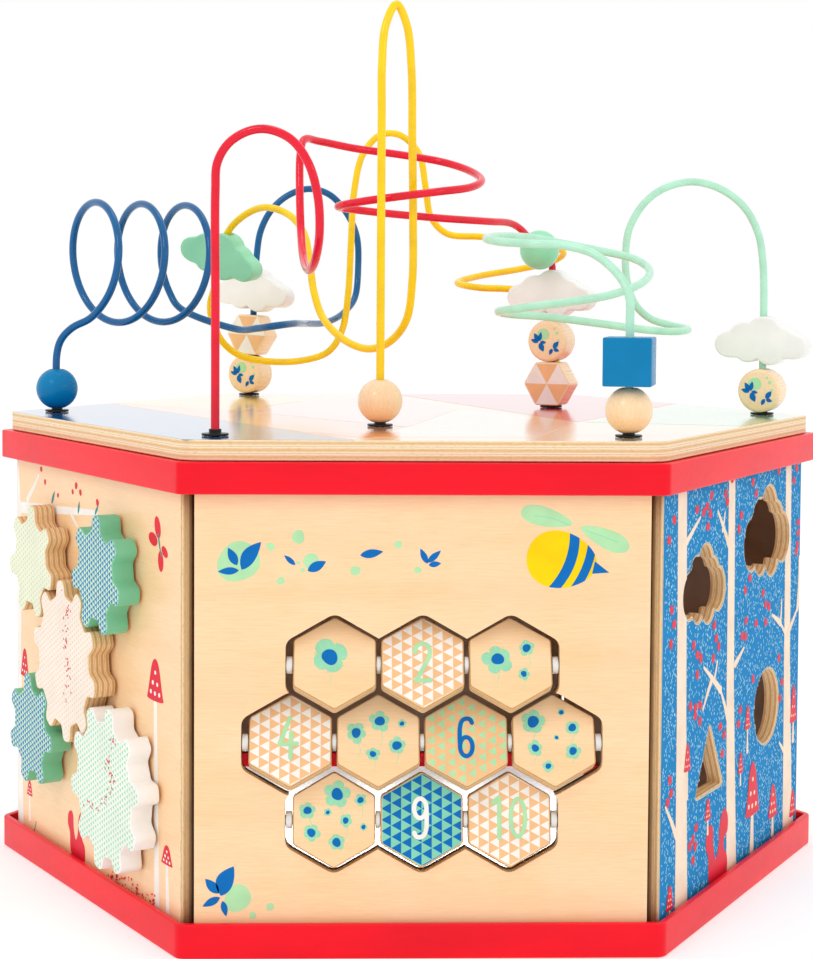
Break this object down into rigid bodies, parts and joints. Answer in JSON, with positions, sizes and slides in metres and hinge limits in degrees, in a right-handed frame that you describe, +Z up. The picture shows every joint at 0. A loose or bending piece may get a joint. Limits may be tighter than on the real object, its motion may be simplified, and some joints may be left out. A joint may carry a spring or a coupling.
{
  "type": "activity cube",
  "caption": "Hexagonal wooden activity centre: turning number tiles, meshing gears, a shape sorter, sliding knobs and a wire bead maze on top.",
  "frame": {"origin": "on the floor, under the centre of the hexagonal box", "axes": "+Z up, -Y out of the wall with the number tiles, +X to the right as seen from that side"},
  "size_m": [0.5, 0.4365, 0.5031],
  "materials": {
    "red_frame": "smooth moulded red",
    "board_wood": "printed and lacquered plywood",
    "wall_wood": "lacquered birch plywood with printing",
    "blue_print": "plywood printed all over in blue",
    "tile_wood": "lacquered wood with a printed front",
    "steel_rod": "plain drawn rod",
    "gear_pink": "printed plywood",
    "gear_cream": "printed plywood",
    "gear_green": "painted and printed plywood",
    "gear_white": "painted and printed plywood",
    "steel_bolt": "zinc plated",
    "red_wire": "glossy coated wire",
    "mint_wire": "glossy coated wire",
    "yellow_wire": "glossy coated wire",
    "blue_wire": "glossy coated wire",
    "black_plastic": "moulded black",
    "red_paint": "gloss paint",
    "blue_paint": "gloss paint",
    "bead_wood": "clear lacquer",
    "leaf_bead": "clear lacquer with a printed leaf",
    "white_paint": "gloss paint",
    "peach_bead": "clear lacquer with printed triangles",
    "green_paint": "gloss paint"
  },
  "bodies": {
    "root": {"bottom_frame": "red_frame", "top_frame": "red_frame", "top_board": "board_wood", "front_wall": "wall_wood", "sorter_wall": "blue_print", "rear_right_wall": "wall_wood", "rear_wall": "wall_wood", "rear_left_wall": "wall_wood", "gear_wall": "wall_wood", "tile_axle_upper": "steel_rod", "tile_axle_middle": "steel_rod", "tile_axle_lower": "steel_rod", "wire_red": "red_wire", "wire_mint": "mint_wire", "wire_yellow": "yellow_wire", "wire_blue": "blue_wire", "grommet_left": "black_plastic", "grommet_front_left": "black_plastic", "grommet_front_right": "black_plastic", "grommet_right": "black_plastic", "grommet_back_right": "black_plastic", "grommet_back_left": "black_plastic", "grommet_inner_front": "black_plastic", "grommet_inner_right": "black_plastic"},
    "tile_1": {"number_tile_1": "tile_wood"},
    "tile_2": {"number_tile_2": "tile_wood"},
    "tile_3": {"number_tile_3": "tile_wood"},
    "tile_4": {"number_tile_4": "tile_wood"},
    "tile_5": {"number_tile_5": "tile_wood"},
    "tile_6": {"number_tile_6": "tile_wood"},
    "tile_7": {"number_tile_7": "tile_wood"},
    "tile_8": {"number_tile_8": "tile_wood"},
    "tile_9": {"number_tile_9": "tile_wood"},
    "tile_10": {"number_tile_10": "tile_wood"},
    "gear_centre_body": {"gear_centre": "gear_pink", "gear_centre_bolt": "steel_bolt"},
    "gear_upper_left_body": {"gear_upper_left": "gear_cream", "gear_upper_left_bolt": "steel_bolt"},
    "gear_upper_right_body": {"gear_upper_right": "gear_green", "gear_upper_right_bolt": "steel_bolt"},
    "gear_lower_left_body": {"gear_lower_left": "gear_green", "gear_lower_left_bolt": "steel_bolt"},
    "gear_lower_right_body": {"gear_lower_right": "gear_white", "gear_lower_right_bolt": "steel_bolt"},
    "slide_upper": {"slide_knob_upper": "red_paint"},
    "slide_lower": {"slide_knob_lower": "red_paint"},
    "blue_ball": {"bead_blue_ball": "blue_paint"},
    "yellow_wire_ball": {"bead_yellow_wire_ball": "bead_wood"},
    "mint_wire_ball": {"bead_mint_wire_ball": "bead_wood"},
    "blue_cube": {"bead_blue_cube": "blue_paint"},
    "right_disc": {"bead_right_disc": "leaf_bead"},
    "right_cloud": {"bead_right_cloud": "white_paint"},
    "back_left_disc": {"bead_back_left_disc": "leaf_bead"},
    "back_left_hexagon": {"bead_back_left_hexagon": "peach_bead"},
    "back_left_cloud": {"bead_back_left_cloud": "white_paint"},
    "green_cloud": {"bead_green_cloud": "green_paint"},
    "mint_ball": {"bead_mint_ball": "green_paint"},
    "back_right_hexagon": {"bead_back_right_hexagon": "peach_bead"},
    "back_right_disc": {"bead_back_right_disc": "leaf_bead"},
    "back_right_cloud": {"bead_back_right_cloud": "white_paint"}
  },
  "joints": [
    {"name": "tile_1_turn", "type": "hinge", "parent": "root", "child": "tile_1", "pos_m": [-0.0452, -0.2055, 0.15], "axis": [1, 0, 0], "continuous": true},
    {"name": "tile_2_turn", "type": "hinge", "parent": "root", "child": "tile_2", "pos_m": [0, -0.2055, 0.15], "axis": [1, 0, 0], "continuous": true},
    {"name": "tile_3_turn", "type": "hinge", "parent": "root", "child": "tile_3", "pos_m": [0.0452, -0.2055, 0.15], "axis": [1, 0, 0], "continuous": true},
    {"name": "tile_4_turn", "type": "hinge", "parent": "root", "child": "tile_4", "pos_m": [-0.0678, -0.2055, 0.1098], "axis": [1, 0, 0], "continuous": true},
    {"name": "tile_5_turn", "type": "hinge", "parent": "root", "child": "tile_5", "pos_m": [-0.0226, -0.2055, 0.1098], "axis": [1, 0, 0], "continuous": true},
    {"name": "tile_6_turn", "type": "hinge", "parent": "root", "child": "tile_6", "pos_m": [0.0226, -0.2055, 0.1098], "axis": [1, 0, 0], "continuous": true},
    {"name": "tile_7_turn", "type": "hinge", "parent": "root", "child": "tile_7", "pos_m": [0.0678, -0.2055, 0.1098], "axis": [1, 0, 0], "continuous": true},
    {"name": "tile_8_turn", "type": "hinge", "parent": "root", "child": "tile_8", "pos_m": [-0.0452, -0.2055, 0.0696], "axis": [1, 0, 0], "continuous": true},
    {"name": "tile_9_turn", "type": "hinge", "parent": "root", "child": "tile_9", "pos_m": [0, -0.2055, 0.0696], "axis": [1, 0, 0], "continuous": true},
    {"name": "tile_10_turn", "type": "hinge", "parent": "root", "child": "tile_10", "pos_m": [0.0452, -0.2055, 0.0696], "axis": [1, 0, 0], "continuous": true},
    {"name": "gear_centre_spin", "type": "hinge", "parent": "root", "child": "gear_centre_body", "pos_m": [-0.19218, -0.10114, 0.133], "axis": [-0.866, -0.5, 0], "continuous": true},
    {"name": "gear_upper_left_spin", "type": "hinge", "parent": "root", "child": "gear_upper_left_body", "pos_m": [-0.21699, -0.05816, 0.18315], "axis": [-0.866, -0.5, 0], "continuous": true},
    {"name": "gear_upper_right_spin", "type": "hinge", "parent": "root", "child": "gear_upper_right_body", "pos_m": [-0.16955, -0.14033, 0.18712], "axis": [-0.866, -0.5, 0], "continuous": true},
    {"name": "gear_lower_left_spin", "type": "hinge", "parent": "root", "child": "gear_lower_left_body", "pos_m": [-0.21768, -0.05697, 0.08426], "axis": [-0.866, -0.5, 0], "continuous": true},
    {"name": "gear_lower_right_spin", "type": "hinge", "parent": "root", "child": "gear_lower_right_body", "pos_m": [-0.16398, -0.14998, 0.0721], "axis": [-0.866, -0.5, 0], "continuous": true},
    {"name": "slide_upper_travel", "type": "slide", "parent": "root", "child": "slide_upper", "axis": [-0.5, -0.866, 0], "range_m": [-0.006, 0.131]},
    {"name": "slide_lower_travel", "type": "slide", "parent": "root", "child": "slide_lower", "axis": [-0.5, -0.866, 0], "range_m": [-0.006, 0.131]},
    {"name": "blue_ball_slide", "type": "slide", "parent": "root", "child": "blue_ball", "axis": [0, 0, 1], "range_m": [0, 0.006]},
    {"name": "yellow_wire_ball_slide", "type": "slide", "parent": "root", "child": "yellow_wire_ball", "axis": [0, 0, 1], "range_m": [0, 0.16]},
    {"name": "mint_wire_ball_slide", "type": "slide", "parent": "root", "child": "mint_wire_ball", "axis": [0, 0, 1], "range_m": [0, 0.004]},
    {"name": "blue_cube_slide", "type": "slide", "parent": "mint_wire_ball", "child": "blue_cube", "axis": [0, 0, 1], "range_m": [0, 0.005]},
    {"name": "right_disc_slide", "type": "slide", "parent": "root", "child": "right_disc", "axis": [0, 0, 1], "range_m": [0, 0.012]},
    {"name": "right_cloud_slide", "type": "slide", "parent": "right_disc", "child": "right_cloud", "axis": [0, 0, 1], "range_m": [0, 0.012]},
    {"name": "back_left_disc_slide", "type": "slide", "parent": "root", "child": "back_left_disc", "axis": [0.0525, 0, 0.9986], "range_m": [0, 0.003]},
    {"name": "back_left_hexagon_slide", "type": "slide", "parent": "back_left_disc", "child": "back_left_hexagon", "axis": [0.0525, 0, 0.9986], "range_m": [0, 0.003]},
    {"name": "back_left_cloud_slide", "type": "slide", "parent": "back_left_hexagon", "child": "back_left_cloud", "axis": [0.0525, 0, 0.9986], "range_m": [0, 0.003]},
    {"name": "green_cloud_slide", "type": "slide", "parent": "root", "child": "green_cloud", "axis": [0.2357, -0.2357, 0.9428], "range_m": [-0.01, 0]},
    {"name": "mint_ball_slide", "type": "slide", "parent": "root", "child": "mint_ball", "axis": [-0.5456, -0.6902, 0.4753], "range_m": [0, 0.003]},
    {"name": "back_right_hexagon_spin", "type": "hinge", "parent": "root", "child": "back_right_hexagon", "pos_m": [0.092, 0.062, 0.3], "axis": [0, 0, 1], "continuous": true},
    {"name": "back_right_disc_spin", "type": "hinge", "parent": "root", "child": "back_right_disc", "pos_m": [0.092, 0.062, 0.3], "axis": [0, 0, 1], "continuous": true},
    {"name": "back_right_cloud_spin", "type": "hinge", "parent": "root", "child": "back_right_cloud", "pos_m": [0.092, 0.062, 0.3], "axis": [0, 0, 1], "continuous": true}
  ],
  "couplings": [
    {"joint": "gear_upper_left_spin", "follows": "gear_centre_spin", "ratio": -1.4286},
    {"joint": "gear_upper_right_spin", "follows": "gear_centre_spin", "ratio": -1.4286},
    {"joint": "gear_lower_left_spin", "follows": "gear_centre_spin", "ratio": -1.4286},
    {"joint": "gear_lower_right_spin", "follows": "gear_centre_spin", "ratio": -1}
  ]
}
